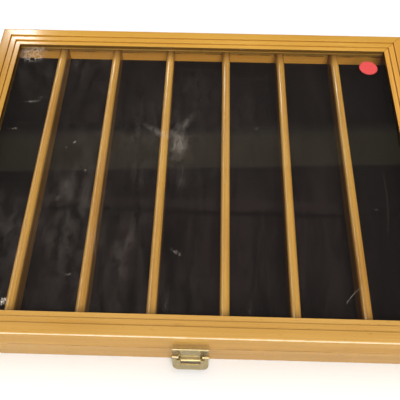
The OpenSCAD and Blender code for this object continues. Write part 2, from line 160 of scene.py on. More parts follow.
class DISPLAYCASE_PG_glass(PropertyGroup):
    """Old window glass with hand marks, scuffs and scratches"""
    film: colour("Film", "Colour of dust and grease on the glass", (0.80, 0.69, 0.60))
    haze: amount("Haze", "Thin film over the whole pane", 0.003, 0.2)
    smears: amount("Smears", "Strength of the hand marks", 1.0, 2.0)


class DISPLAYCASE_PG_metal(PropertyGroup):
    """Brass of the latch and hinges, and steel of the screws"""
    brass: colour("Brass", "Bright brass", (0.74, 0.62, 0.36))
    tarnish: colour("Tarnish", "Brass where the plating has dulled", (0.50, 0.41, 0.19))
    steel: colour("Steel", "Bright zinc on the screws", (0.56, 0.57, 0.58))
    dull_steel: colour("Dull Steel", "Zinc where it has dulled", (0.30, 0.30, 0.31))
    slot: length("Slot", "Width of a screw's slot", 0.0006, 0.0002, 0.002)


class DISPLAYCASE_PG_dot(PropertyGroup):
    """Round paper dot stuck on the glass, left bare"""
    paper: colour("Paper", "Colour of the paper", (0.78, 0.062, 0.062))
    diameter: length("Diameter", "Diameter of the dot", 0.019, 0.005, 0.05)
    across: length("Across", "Place of the dot to the right of the middle", 0.1759, -0.2, 0.2)
    along: length("Along", "Place of the dot behind the middle", 0.1300, -0.2, 0.2)
    thickness: length("Thickness", "Thickness of the paper", 0.00012, 0.00005, 0.001)


class DISPLAYCASE_PG_stage(PropertyGroup):
    """Camera, floor and lights"""
    floor: colour("Floor", "Colour of the floor", (0.97, 0.98, 0.99))
    camera: FloatVectorProperty(name="Camera", description="Where the camera stands",
                                subtype="TRANSLATION", unit="LENGTH", precision=5,
                                default=(0.01092, -0.32989, 0.49271))
    pitch: angle("Pitch", "How far the camera looks down", 57.02)
    heading: angle("Heading", "How far the camera turns to the right", -1.39)
    roll: angle("Roll", "How far the camera leans", 0.22)
    lens: FloatProperty(name="Lens", description="Focal length for a 36 mm wide picture",
                        subtype="DISTANCE_CAMERA", min=10, max=200, default=54)
    key: level("Key Light", "Strength of the soft light from the front", 2.85)
    overhead: level("Overhead", "Strength of the soft light from above", 2.4)
    fill: level("Fill", "Strength of the light from all round", 0.04, 5)
    panel: level("Panel", "Power of the small panel behind the case, in watts", 2.2, 100)
    side: level("Side", "Brightness of the long soft light on the left", 4.0)
    window: level("Window", "Brightness of the low light in front", 0.8)
    glow: level("Glow", "Brightness of the key light seen in brass", 2.2)
    strip: level("Strip", "Brightness of the band seen in the glass", 0.17, 2)


# Helpers for node trees

class Wire:
    """One output of a node. Arithmetic with wires adds Math nodes to their tree."""

    def __init__(self, socket):
        self.socket, self.tree = socket, socket.id_data

    def __getitem__(self, name):
        """Another output of the same node."""
        return Wire(self.socket.node.outputs[name])

    def __add__(self, other):
        return maths("ADD", self, other)

    def __sub__(self, other):
        return maths("SUBTRACT", self, other)

    def __rsub__(self, other):
        return maths("SUBTRACT", other, self)

    def __mul__(self, other):
        return maths("MULTIPLY", self, other)

    def __truediv__(self, other):
        return maths("DIVIDE", self, other)

    def __rtruediv__(self, other):
        return maths("DIVIDE", other, self)

    def __abs__(self):
        return maths("ABSOLUTE", self)


def tree_of(*values):
    """The tree of the first wire among some values."""
    return next(value.tree for value in values if isinstance(value, Wire))


def feed(socket, source):
    """Gives an input a number, a colour or a wire."""
    if isinstance(source, Wire):
        source.tree.links.new(source.socket, socket)
    else:
        socket.default_value = source


def add(tree, kind, inputs, **settings):
    """The first output of a new node."""
    node = tree.nodes.new(kind)
    for name, value in settings.items():
        setattr(node, name, value)
    for name, source in inputs.items():
        feed(node.inputs[name], source)
    return Wire(node.outputs[0])


def is_vector(value):
    """Whether a value is a wire or a tuple with three parts."""
    return isinstance(value, tuple) or isinstance(value, Wire) and value.socket.type == "VECTOR"


def maths(operation, *values, clamp=False):
    """The result of a Math node, or of a Vector Math node if one of the values is a vector."""
    vector = any(map(is_vector, values))
    if vector and operation == "MULTIPLY" and not is_vector(values[1]):
        operation = "SCALE"
    node = tree_of(*values).nodes.new("ShaderNodeVectorMath" if vector else "ShaderNodeMath")
    node.operation = operation
    if clamp:
        node.use_clamp = True
    sockets = (node.inputs[0], node.inputs["Scale"]) if operation == "SCALE" else node.inputs
    for socket, value in zip(sockets, values):
        feed(socket, value)
    return Wire(node.outputs[1 if operation in ("DOT_PRODUCT", "LENGTH") else 0])


def mul_add(first, second, third, clamp=False):
    """first * second + third, in one node."""
    return maths("MULTIPLY_ADD", first, second, third, clamp=clamp)


def greater(first, second):
    """The greater of two values."""
    return maths("MAXIMUM", first, second)


def xyz(x=0.0, y=0.0, z=0.0):
    """A vector from its three parts."""
    return add(tree_of(x, y, z), "ShaderNodeCombineXYZ", {"X": x, "Y": y, "Z": z})


def split(vector):
    """The three parts of a vector."""
    parts = add(vector.tree, "ShaderNodeSeparateXYZ", {"Vector": vector})
    return parts["X"], parts["Y"], parts["Z"]


def blended(factor, first, second):
    """A mix of two colours."""
    return add(tree_of(factor, first, second), "ShaderNodeMix",
               {"Factor": factor, 6: first, 7: second}, data_type="RGBA")[2]


def mixed(factor, first, second):
    """A mix of two shaders."""
    return add(factor.tree, "ShaderNodeMixShader", {0: factor, 1: first, 2: second})


def spread(value, low, high, to_low=0.0, to_high=1.0):
    """A value moved smoothly from one range to another, held at its ends."""
    return add(value.tree, "ShaderNodeMapRange",
               {"Value": value, "From Min": low, "From Max": high, "To Min": to_low,
                "To Max": to_high}, clamp=True, interpolation_type="SMOOTHSTEP")


def fade(value, start, end, most=1.0):
    """Most while the value is below start, and nothing once it is past end."""
    return spread(value, start, end, most, 0.0)


def noisy(vector, detail=2.0, roughness=0.5, distortion=0.0):
    """A Noise Texture's value, with features about one unit wide."""
    return add(vector.tree, "ShaderNodeTexNoise",
               {"Vector": vector, "Scale": 1.0, "Detail": detail, "Roughness": roughness,
                "Distortion": distortion})["Fac"]


def darker(colour, share):
    """A share of a colour."""
    return tuple(share * part for part in colour[:3]) + (1,)


def arrange(tree):
    """Sets a tree's nodes out in columns, each to the left of all the nodes it feeds."""
    columns = dict.fromkeys(tree.nodes.keys(), 0)
    moved = True
    while moved:
        moved = False
        for link in tree.links:
            needed = columns[link.to_node.name] + 1
            if columns[link.from_node.name] < needed:
                columns[link.from_node.name], moved = needed, True
    filled = {}
    for name, column in columns.items():
        filled[column] = filled.get(column, 0) + 1
        tree.nodes[name].location = (-220 * column, -240 * filled[column])


def new_group(name, kind, inputs, outputs):
    """A node group's inputs. A name in inputs or outputs is a type, and a value a default."""
    tree = bpy.data.node_groups.new(name, kind)
    for label, value in inputs.items():
        named = isinstance(value, str)
        suffix = value if named else {int: "Int", float: "Float", tuple: "Color"}[type(value)]
        socket = tree.interface.new_socket(label, in_out="INPUT",
                                           socket_type="NodeSocket" + suffix)
        if not named:
            socket.default_value = value
    for label, suffix in outputs.items():
        tree.interface.new_socket(label, in_out="OUTPUT", socket_type="NodeSocket" + suffix)
    given = tree.nodes.new("NodeGroupInput")
    tree.nodes.new("NodeGroupOutput")
    return Wire(given.outputs[0])


def new_effect(name, inputs, *masks, **outputs):
    """A shader group that works on a place in millimetres. Masks are outputs with no unit."""
    return new_group(name, "ShaderNodeTree", {"Vector": "Vector", **inputs},
                     {**outputs, **dict.fromkeys(masks, "Float")})


def close(given, results):
    """Feeds a group's outputs, sets its nodes out, and gives back the group."""
    for label, source in results.items():
        feed(given.tree.nodes["Group Output"].inputs[label], source)
    arrange(given.tree)
    return given.tree


def shared(name, make):
    """The node group of this name, made once."""
    return bpy.data.node_groups.get(name) or make(name)


def effect(name, make, place, inputs):
    """A shared effect at a place, with its own values."""
    return add(place.tree, "ShaderNodeGroup", {"Vector": place, **inputs},
               node_tree=shared(name, make))


# Effects that several materials share

def make_grain(name):
    """Straight grain along X: fine growth streaks, slow changes of tone, and short flecks."""
    given = new_effect(name, {"Pale": (1, 1, 1, 1), "Dark": (0, 0, 0, 1), "Streak": 1.2,
                              "Flecks": 0.5}, "Height", Color="Color")
    place, dark = given["Vector"], given["Dark"]
    thick = 1.0 / given["Streak"]
    fine = noisy(place * xyz(thick * 0.012, thick, thick), 5.0, 0.62, 0.15)
    broad = noisy(place * (0.004, 0.11, 0.11), 2.0, 0.5, 0.4)
    slow = noisy(place * (0.011, 0.016, 0.016), 1.0)
    fleck = spread(noisy(place * (0.13, 2.1, 2.1), 1.0, 0.4), 0.70, 0.78) * given["Flecks"]
    tone = mul_add(broad, 0.9, mul_add(fine, 1.1, -0.25) - 0.42)
    tone = maths("ADD", mul_add(slow, 0.5, tone), -0.05, clamp=True)
    wood = blended(tone, given["Pale"], dark)
    deep = blended(0.75, dark, (0.03, 0.012, 0.004, 1))
    return close(given, {"Color": blended(fleck, wood, deep), "Height": fine - fleck})


def make_varnish(name):
    """Old gloss varnish: uneven gloss, faint rub marks and a little lost colour."""
    given = new_effect(name, {"Color": (1, 1, 1, 1), "Gloss": 0.2, "Rub": 0.3},
                       "Roughness", "Height", Color="Color")
    place, rub = given["Vector"], given["Rub"]
    cloud = noisy(place * 0.03, 3.0)
    turned = add(given.tree, "ShaderNodeVectorRotate",
                 {"Vector": place, "Angle": math.radians(23)}, rotation_type="Z_AXIS")
    worn = spread(noisy(turned * (0.05, 2.2, 0.6), 2.0, 0.6, 0.4), 0.63, 0.72) * rub
    spots = spread(noisy(place * 0.55, 2.0, 0.5), 0.71, 0.76) * (rub * 0.8)
    faded = blended(worn * 0.25, given["Color"], (0.85, 0.68, 0.42, 1))
    rough = mul_add(worn, 0.25, mul_add(cloud, 0.14, given["Gloss"]) - 0.07)
    return close(given, {"Color": blended(spots, faded, (0.10, 0.04, 0.01, 1)),
                         "Roughness": rough, "Height": mul_add(cloud, 0.6, worn * -0.3)})


def make_frame_lines(name):
    """Where a mitred frame gets dirt and painted shade, and where it is rubbed and lit.

    Painted shade lies at the foot of each step and under the inner lip, dirt along the mitres,
    and the outer arris is rubbed and takes a painted highlight. All is in millimetres, measured in
    from the frame's outer faces.
    """
    given = new_effect(name, {"Half Width": 215.0, "Half Depth": 172.0, "First Step": 9.9,
                              "Second Step": 15.6, "Line Width": 0.5, "Lowest": 41.5,
                              "Top": 47.0, "Rounding": 2.2, "Inner Face": 20.8},
                       "Steps", "Mitres", "Arris", "Lip")
    x, y, z = split(given["Vector"])
    in_x, in_y = given["Half Width"] - abs(x), given["Half Depth"] - abs(y)
    inset = maths("MINIMUM", in_x, in_y)
    ragged = noisy(given["Vector"] * 0.12, 3.0)
    width = given["Line Width"] * mul_add(ragged, 1.0, 0.45)
    lines = [fade(abs(inset - (given[step] + 0.22)), 0.05, width)
             for step in ("First Step", "Second Step")]
    above = maths("GREATER_THAN", z, given["Lowest"])
    from_edge = greater(inset, given["Top"] - z)
    rounding = given["Rounding"]
    # Steps and Lip are painted shade, Mitres are dirt, and Arris is rubbing with a painted
    # highlight.
    return close(given, {
        "Steps": greater(*lines) * above,
        "Mitres": fade(abs(in_x - in_y), 0.10, 0.50),
        "Arris": fade(from_edge, rounding * 0.3, rounding * mul_add(ragged, 0.6, 0.3)),
        "Lip": fade(given["Inner Face"] - inset, 0.1, 0.35)})


def make_specks(name):
    """Small specks of dust or lint, in patches."""
    given = new_effect(name, {"Spacing": 6.0, "Size": 0.08, "Patches": 0.5}, "Mask")
    place, size, patches = given["Vector"], given["Size"], given["Patches"]
    cells = add(given.tree, "ShaderNodeTexVoronoi",
                {"Vector": place * (1.0 / given["Spacing"]), "Scale": 1.0, "Randomness": 1.0})
    specks = fade(cells["Distance"], size * 0.5, size)
    kind = add(given.tree, "ShaderNodeSeparateColor", {"Color": cells["Color"]})
    patchy = spread(noisy(place * 0.02, 3.0), patches, patches + 0.15)
    return close(given, {"Mask": specks * maths("LESS_THAN", kind, 0.45) * patchy})


def make_scratch(name):
    """One slightly bowed hair scratch between two points, in millimetres."""
    given = new_effect(name, {"From": "Vector", "To": "Vector", "Bow": 0.0, "Width": 0.2},
                       "Mask")
    run = given["To"] - given["From"]
    off = given["Vector"] * (1, 1, 0) - given["From"]
    share = maths("DIVIDE", maths("DOT_PRODUCT", off, run), maths("DOT_PRODUCT", run, run),
                  clamp=True)
    arch = share * (1.0 - share) * given["Bow"]
    nearest = run * share + maths("CROSS_PRODUCT", run, (0, 0, 1)) * arch
    return close(given, {"Mask": fade(maths("LENGTH", off - nearest), 0.0, given["Width"])})


def make_worn_metal(name):
    """Plated metal: bright where it is handled, dull in patches, with fine brushing."""
    given = new_effect(name, {"Bright": (1, 1, 1, 1), "Dull": (0, 0, 0, 1), "Wear": 0.5,
                              "Gloss": 0.22}, "Roughness", "Height", Color="Color")
    dull = spread(noisy(given["Vector"] * 0.35, 4.0, 0.6), 0.42, 0.66) * given["Wear"]
    brush = noisy(given["Vector"] * (9.0, 0.5, 0.5), 2.0)
    return close(given, {"Color": blended(dull, given["Bright"], given["Dull"]),
                         "Roughness": mul_add(brush, 0.08, mul_add(dull, 0.28, given["Gloss"])),
                         "Height": brush})


# Materials

def new_material(name):
    """A material with a Principled shader alone, and Object coordinates in millimetres."""
    material = bpy.data.materials.new(name)
    material.use_nodes = True
    tree = material.node_tree
    tree.nodes.clear()
    shader = add(tree, "ShaderNodeBsdfPrincipled", {})
    feed(tree.nodes.new("ShaderNodeOutputMaterial").inputs["Surface"], shader)
    return material, add(tree, "ShaderNodeTexCoord", {})["Object"] * MM


def bumped(height, depth, strength):
    """A Bump node's normal. depth is in metres."""
    return add(height.tree, "ShaderNodeBump",
               {"Height": height, "Distance": depth, "Strength": strength})


def finished(material, values):
    """Gives the material's shader its values, sets its nodes out, and gives it back."""
    tree = material.node_tree
    for name, source in values.items():
        feed(tree.nodes["Principled BSDF"].inputs[name], source)
    arrange(tree)
    return material


# How each length of wood differs from the rest, in red, green and blue
LENGTH_TONES = {
    "lid_back_moulding": (1.05, 1.03, 0.82), "lid_left_moulding": (0.85, 0.80, 0.65),
    "lid_right_moulding": (1.15, 1.05, 0.90), "lid_front_moulding": (1.0, 1.0, 1.08),
    # The base back rail is much paler: painted light on its inner face under the lid's lip.
    "base_back_rail": (1.38, 1.15, 0.82),
}
# How strongly the painted shade shows along a moulding's steps, at the back less, and the dirt
# along its mitres
STEP_SHADE, BACK_STEP_SHADE, MITRE_DIRT = 0.8, 0.45, 0.8


def wood_material(name, along, shift, pale, dark, rubbed=None, ends=None, gloss=0.17,
                  shine=0.12, coat=0.07):
    """Varnished wood with its grain along X or Y, taken from its own place in the plank.

    rubbed is how worn a moulding's edge is, and how strong the painted highlight on it is. ends
    are a divider's front, back and top: painted shadow darkens its ends and painted shade its
    flanks towards the foot.
    """
    wood = bpy.context.scene.display_case_wood
    line = tuple(wood.line)
    material, place = new_material(name)
    turned = add(place.tree, "ShaderNodeMapping",
                 {"Vector": place, "Location": shift,
                  "Rotation": (0, 0, math.radians(-90) if along == "Y" else 0)})
    grain = effect("Straight Grain", make_grain, turned,
                   {"Pale": pale, "Dark": dark, "Streak": wood.streak * MM,
                    "Flecks": wood.flecks})
    tone = grain["Color"]
    if rubbed is not None:
        lines = effect("Frame Lines", make_frame_lines, place - (0, MIDDLE.y * MM, 0),
                       {"Half Width": HALF_WIDTH * MM, "Half Depth": HALF_DEPTH * MM,
                        "Line Width": wood.line_width * MM})
        # Painted shade at the foot of each step, and dirt along the mitres.
        shade_and_dirt = greater(lines["Steps"] * (BACK_STEP_SHADE if "back" in name else STEP_SHADE),
                       lines["Mitres"] * MITRE_DIRT)
        tone = blended(shade_and_dirt, tone, line)
        # Painted shade under the inner lip.
        tone = blended(lines["Lip"] * 0.8, tone, darker(line, 0.3))
        # Rubbed arris: worn varnish and a painted highlight.
        tone = blended(lines["Arris"] * rubbed, tone, tuple(wood.rubbed))
    _, y, height = split(place)
    if ends is not None:
        front, back, top = (MM * end for end in ends)
        # Painted shadow of the lid on the divider's ends, and painted shade on its flanks, darker
        # towards the foot.
        heads = greater(spread(y, back - 26, back - 5, 0.0, 0.62),
                        spread(y, front + 6, front + 1, 0.0, 0.4))
        foot = spread(height, top - 2.5, top - 9, 0.0, 0.5)
        tone = blended(greater(heads, foot), tone, darker(line, 0.7))
    ragged = noisy(place * (0.05, 0.05, 0), 3.0, 0.6)
    seam = fade(abs(height - SEAM * MM), 0.3, 0.9) * spread(ragged, 0.40, 0.62, 0.15, 0.75)
    finish = effect("Old Varnish", make_varnish, place,
                    {"Color": blended(seam, tone, line), "Gloss": gloss, "Rub": 0.35})
    relief = mul_add(grain["Height"], 0.35, finish["Height"])
    return finished(material, {
        "Base Color": finish["Color"], "Roughness": finish["Roughness"],
        "Specular IOR Level": shine, "Coat Weight": coat, "Coat Roughness": 0.08,
        "Normal": bumped(relief, 0.00012, 0.35)})


def board_material():
    """Bare plywood: open rotary-cut grain, dry and matt."""
    material, place = new_material("bare_plywood")
    wave = add(place.tree, "ShaderNodeTexWave",
               {"Vector": place * (0.009, 0.05, 0.05), "Scale": 1.0, "Distortion": 9.0,
                "Detail": 3.0, "Detail Scale": 1.2}, bands_direction="Y")
    pores = noisy(place * (0.12, 2.2, 2.2), 3.0, 0.6)
    tone = mul_add(wave["Fac"], 0.55, pores * 0.45, clamp=True)
    base = blended(tone, (0.52, 0.36, 0.20, 1), (0.33, 0.20, 0.10, 1))
    stain = spread(noisy(place * 0.012, 3.0), 0.5, 0.75, 0.0, 0.35)
    return finished(material, {"Base Color": blended(stain, base, (0.24, 0.14, 0.07, 1)),
                               "Roughness": spread(pores, 0.3, 0.7, 0.62, 0.85),
                               "Normal": bumped(pores, 0.0002, 0.4)})


def metal_material(name, bright, dull, wear, gloss):
    """Plated metal with its own bright and dull colours."""
    material, place = new_material(name)
    worn = effect("Worn Metal", make_worn_metal, place,
                  {"Bright": tuple(bright), "Dull": tuple(dull), "Wear": wear, "Gloss": gloss})
    return finished(material, {"Base Color": worn["Color"], "Roughness": worn["Roughness"],
                               "Metallic": 1.0, "Normal": bumped(worn["Height"], 0.00004, 0.12)})


THREAD_SPACING = 0.55       # two threads of the cloth, in millimetres
FOLD_LINE, RIDGE_LINE, BACK_LINE = 30.3, 9.5, 71.0      # places of folds, in millimetres


def cloth_material():
    """Thin black cloth: a fine plain weave, varying tone with painted shade along its folds and a
    painted lit ridge, and lint.
    """
    cloth = bpy.context.scene.display_case_cloth
    material, place = new_material("black_cloth")
    x, y, _ = split(place)
    thread = 2 * math.pi / THREAD_SPACING
    weave = maths("SINE", x * thread) * maths("SINE", y * thread)
    rubbed = noisy(place * (0.07, 0.012, 0.02), 4.0, 0.6, 0.8)
    cloud = noisy(place * 0.012, 3.0)
    front = spread(y, -45.0, 5.0, 1.0, 0.45)
    tone = mul_add(spread(rubbed, 0.38, 0.70), front, spread(cloud, 0.35, 0.7, 0.0, 0.4))
    right = greater(x - 150.0, 0.0)
    # Painted shade along the front fold and the back fold, and a painted lit ridge just behind the
    # front fold.
    fold = y + mul_add(right * right, -0.0035, mul_add(cloud, 6.0, FOLD_LINE))
    valley = fade(abs(fold), 0.6, 4.6, 0.6)
    ridge = fade(abs(fold - RIDGE_LINE), 1.0, 8.0, 0.5)
    behind = fade(abs(mul_add(cloud, 10.0, y - BACK_LINE)), 1.0, 10.0, 0.75)
    ends = spread(abs(x), 105.0, 185.0, 0.0, 0.75)
    black = tuple(cloth.black)
    grey = tuple(min(1.0, 4.0 * part + 0.001) for part in black[:3]) + (1,)
    # Painted light on the ridge; painted shade in the folds, and darker towards the left and right
    # ends.
    base = blended(maths("ADD", tone, ridge, clamp=True), black, grey)
    base = blended(greater(ends, greater(valley, behind)), base, darker(black, 0.3))
    lint = effect("Specks", make_specks, place, {"Spacing": 7.0, "Size": 0.035, "Patches": 0.48})
    return finished(material, {
        "Base Color": blended(lint * 0.6, base, tuple(cloth.lint)),
        "Roughness": spread(weave, -1.0, 1.0, 0.82, 0.95), "Specular IOR Level": 0.1,
        "Sheen Weight": 0.015, "Sheen Roughness": 0.5, "Normal": bumped(weave, 0.00008, 0.5)})


# Marks on the glass by kind, in mm: centre, half size, turn in degrees, strength.
# A kind's marks are broken up by the same streaks: their scale across and along, their turn,
# and the two noise values between which a streak fades in.
MARKS = {
    "hand": ((0.26, 0.085), 12, (0.26, 0.82), (
        ((-18, 25), (10, 21), 4, 0.20), ((-12, 50), (5, 20), -32, 0.085),
        ((-22, 38), (7, 15), -24, 0.12), ((-36, 36), (25, 4.4), 146, 0.14),
        ((-20, 8), (8, 5), 20, 0.10), ((-14, -14), (8, 18), 4, 0.03))),
    "scuff": ((0.9, 0.45), 65, (0.50, 0.62), (
        ((-168, 74), (9, 2.0), 8, 0.30), ((-161, 79), (4, 1.6), 30, 0.20),
        ((-179.5, 38.2), (4.5, 1.2), 0, 0.30), ((-125, 16.5), (2.2, 1.2), 0, 0.25),
        ((-118.4, 23.2), (3.6, 1.6), 38, 0.30), ((-103.5, -9.5), (1.7, 1.7), 0, 0.5),
        ((-119, -26), (5, 5), 20, 0.08), ((-124, -41.6), (4, 3), 0, 0.10),
        ((-104.4, -116.6), (3.2, 1.0), 15, 0.45), ((-15, -93), (7, 2.6), -30, 0.30),
        ((56.5, 44.5), (2.6, 2.6), 0, 0.18), ((161, -46), (1.8, 1.4), 0, 0.20),
        ((-64, 29), (1.4, 2.6), 0, 0.20), ((-153.5, -142), (4.6, 3.6), 30, 1.6),
        ((-21, -142), (12, 3.0), 90, 0.05), ((47, -145), (11, 3.0), 90, 0.045))),
    "haze": ((0.10, 0.035), 8, (0.35, 0.75), (
        ((-110, -60), (45, 95), 0, 0.036), ((-170, -95), (36, 70), 0, 0.04),
        ((-58, -95), (24, 66), -6, 0.0275), ((-90, -78), (8, 36), 4, 0.055),
        ((0, 99), (46, 26), 0, 0.0125), ((-40, 30), (150, 100), 0, 0.015),
        ((-60, -150), (120, 60), 0, 0.016), ((-145, 125), (135, 75), 0, 0.015))),
}
# Hair scratches: from, to, bow, width, strength
SCRATCHES = (
    ((137.5, -122.5, 0), (125.5, -136.0, 0), 0.14, 0.24, 0.20),
    ((172.5, -5.4, 0), (168.1, -68.6, 0), -0.12, 0.40, 0.022),
    ((-13.2, -1.6, 0), (-18.9, -34.3, 0), -0.2, 0.40, 0.025),
    ((-24.8, 124.1, 0), (17.1, 121.0, 0), 0.04, 0.40, 0.025),
    ((33.8, 111.5, 0), (75.2, 111.3, 0), 0.03, 0.40, 0.02),
    ((-86, -66, 0), (-84, -96, 0), 0.1, 0.50, 0.05),
)


def in_oval(place, centre, half, turn):
    """One in the middle of an oval on the glass, and nothing at its rim."""
    inside = add(place.tree, "ShaderNodeMapping",
                 {"Vector": place, "Location": (*centre, 0),
                  "Rotation": (0, 0, math.radians(turn)), "Scale": (*half, 1e6)},
                 vector_type="TEXTURE")
    return add(place.tree, "ShaderNodeTexGradient", {"Vector": inside},
               gradient_type="SPHERICAL")["Fac"]


def kind_of_marks(place, kind):
    """The mask of one kind of mark."""
    (across, along), turn, (start, full), marks = MARKS[kind]
    turned = add(place.tree, "ShaderNodeMapping",
                 {"Vector": place, "Rotation": (0, 0, math.radians(turn)),
                  "Scale": (across, along, 0)})
    streaks = spread(noisy(turned, 5.0, 0.62, 0.4), start, full)
    most = 0.0
    for centre, half, lean, strength in marks:
        most = greater(most, in_oval(place, centre, half, lean) * strength)
    return most * streaks


def glass_material():
    """Clear glass under a thin uneven film, with hand marks, scuffs and hair scratches."""
    glass = bpy.context.scene.display_case_glass
    material, place = new_material("clear_glass")
    tree = material.node_tree
    at = place - (0, MIDDLE.y * MM, 0)
    wander = add(tree, "ShaderNodeTexNoise", {"Vector": at, "Scale": 0.13, "Detail": 3.0})
    bent = at + (wander["Color"] - (0.5, 0.5, 0.5)) * (9, 9, 0)
    total = glass.haze
    for kind in MARKS:
        total = mul_add(kind_of_marks(at if kind == "scuff" else bent, kind), glass.smears, total)
    for start, end, bow, width, strength in SCRATCHES:
        scratch = effect("Scratch", make_scratch, at,
                         {"From": start, "To": end, "Bow": bow, "Width": width})
        total = mul_add(scratch, strength * glass.smears, total)
    corner = spread(in_oval(bent, (-180, 142), (17, 16), 0), 0.05, 0.5)
    cracks = add(tree, "ShaderNodeTexVoronoi", {"Vector": at * 0.17, "Scale": 1.0},
                 feature="DISTANCE_TO_EDGE")
    total = mul_add(corner, fade(cracks["Distance"], 0.02, 0.11) * 0.24, total)
    dust = effect("Specks", make_specks, at, {"Spacing": 8.0, "Size": 0.042, "Patches": 0.46})
    total = mul_add(dust, 0.38, total, clamp=True)
    film = add(tree, "ShaderNodeBsdfPrincipled",
               {"Base Color": tuple(glass.film), "Roughness": 0.75})
    surface = mixed(total, Wire(tree.nodes["Principled BSDF"].outputs[0]), film)
    path = add(tree, "ShaderNodeLightPath", {})
    clear = add(tree, "ShaderNodeBsdfTransparent", {"Color": (0.96, 0.97, 0.965, 1)})
    for ray in ("Is Diffuse Ray", "Is Shadow Ray"):
        surface = mixed(path[ray], surface, clear)
    feed(tree.nodes["Material Output"].inputs["Surface"], surface)
    return finished(material, {"Base Color": (0.97, 0.99, 0.98, 1), "Roughness": 0.0,
                               "IOR": 1.5, "Transmission Weight": 1.0})


def paper_material():
    """Coated coral paper, a little darker and dirtier at its rim."""
    dot = bpy.context.scene.display_case_dot
    material, place = new_material("coral_paper")
    fibres = noisy(place * 1.4, 4.0)
    centre = (dot.across * MM, dot.along * MM + MIDDLE.y * MM, 0)
    radius = dot.diameter * MM / 2
    rim = spread(maths("LENGTH", (place - centre) * (1, 1, 0)), radius * 0.8, radius, 0.0, 0.5)
    red, green, blue, _ = dot.paper
    soft = blended(fibres, tuple(dot.paper), (red, green * 1.5, blue * 1.5, 1))
    return finished(material, {"Base Color": blended(rim, soft, (0.55, 0.06, 0.05, 1)),
                               "Roughness": spread(fibres, 0.3, 0.7, 0.5, 0.7),
                               "Normal": bumped(fibres, 0.00004, 0.3)})


# Helpers for pieces

def dress(names, material):
    """Gives the material to CAD nodes."""
    for name in names:
        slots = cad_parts[name].data.materials
        slots.clear()
        slots.append(material)


def new_object(name, data):
    """An object in the scene."""
    made = bpy.data.objects.new(name, data)
    bpy.context.scene.collection.objects.link(made)
    return made


def new_piece(name, mesh, body, replaced=()):
    """An object for a finished mesh, at the origin, riding on a body."""
    piece = new_object(name, mesh)
    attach(piece, body)
    if replaced:
        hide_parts(*replaced)
    return piece


def grown(name, points, group, inputs):
    """The plain mesh that a geometry tree makes from loose points."""
    start = bpy.data.meshes.new(name + "_points")
    start.from_pydata([tuple(point) for point in points], [], [])
    holder = new_object(name + "_tree", start)
    modifier = holder.modifiers.new("Tree", "NODES")
    modifier.node_group = group
    sockets = {item.name: item.identifier for item in group.interface.items_tree
               if item.item_type == "SOCKET" and item.in_out == "INPUT"}
    for label, value in inputs.items():
        modifier[sockets[label]] = value
    graph = bpy.context.evaluated_depsgraph_get()
    graph.update()
    mesh = bpy.data.meshes.new_from_object(holder.evaluated_get(graph), depsgraph=graph)
    mesh.name = name
    holder.modifiers.remove(modifier)
    bpy.data.objects.remove(holder)
    bpy.data.meshes.remove(start)
    return mesh


def new_shape(name, inputs):
    """A geometry group that turns loose points into a mesh of one material."""
    return new_group(name, "GeometryNodeTree",
                     {"Geometry": "Geometry", **inputs, "Material": "Material"},
                     {"Geometry": "Geometry"})


def repeated(given, points, instance, **inputs):
    """Closes a geometry group with copies on points, turned into plain mesh."""
    copies = add(given.tree, "GeometryNodeInstanceOnPoints",
                 {"Points": points, "Instance": instance, **inputs})
    real = add(given.tree, "GeometryNodeRealizeInstances", {"Geometry": copies})
    return close(given, {"Geometry": add(given.tree, "GeometryNodeSetMaterial",
                                         {"Geometry": real, "Material": given["Material"]})})


def make_divider_tree(name):
    """A row of round-topped strips: one profile swept along a line, then repeated at a pitch.

    The bay in the middle of the row may be wider than the others.
    """
    given = new_shape(name, {"Count": 6, "Pitch": 0.05, "Width": 0.008, "Height": 0.014,
                             "Length": 0.3, "Middle Extra": 0.0})
    tree = given.tree
    radius = given["Width"] / 2.0
    ring = add(tree, "GeometryNodeCurvePrimitiveCircle", {"Resolution": 48, "Radius": radius},
               mode="RADIUS")
    x, y, _ = split(add(tree, "GeometryNodeInputPosition", {}))
    wide = maths("MINIMUM", radius, greater(radius * -1.0, x * 1.4))
    profile = add(tree, "GeometryNodeSetPosition",
                  {"Geometry": ring, "Selection": maths("GREATER_THAN", y, 0.00002),
                   "Position": xyz(wide, given["Height"] - radius)})
    reach = given["Length"] / 2.0
    line = add(tree, "GeometryNodeCurvePrimitiveLine",
               {"Start": xyz(y=reach * -1.0), "End": xyz(y=reach)})
    strip = add(tree, "GeometryNodeCurveToMesh",
                {"Curve": line, "Profile Curve": profile, "Fill Caps": True})
    bend = add(tree, "GeometryNodeInputMeshEdgeAngle", {})
    smooth = add(tree, "GeometryNodeSetShadeSmooth", {"Geometry": strip, "Shade Smooth": True},
                 domain="FACE")
    smooth = add(tree, "GeometryNodeSetShadeSmooth",
                 {"Geometry": smooth, "Shade Smooth": False,
                  "Selection": maths("GREATER_THAN", bend, math.radians(35))}, domain="EDGE")
    first = given["Pitch"] * ((1.0 - given["Count"]) / 2.0)
    row = add(tree, "GeometryNodeMeshLine",
              {"Count": given["Count"], "Start Location": xyz(first),
               "Offset": xyz(given["Pitch"])})
    at_start = add(tree, "GeometryNodeInputPosition", {})
    apart = maths("SIGN", split(at_start)[0]) * (given["Middle Extra"] * 0.5)
    origin = add(tree, "GeometryNodeSampleIndex",
                 {"Geometry": given["Geometry"], "Value": at_start, "Index": 0},
                 data_type="FLOAT_VECTOR")
    placed = add(tree, "GeometryNodeSetPosition",
                 {"Geometry": row, "Offset": origin + xyz(apart)})
    return repeated(given, placed, smooth)


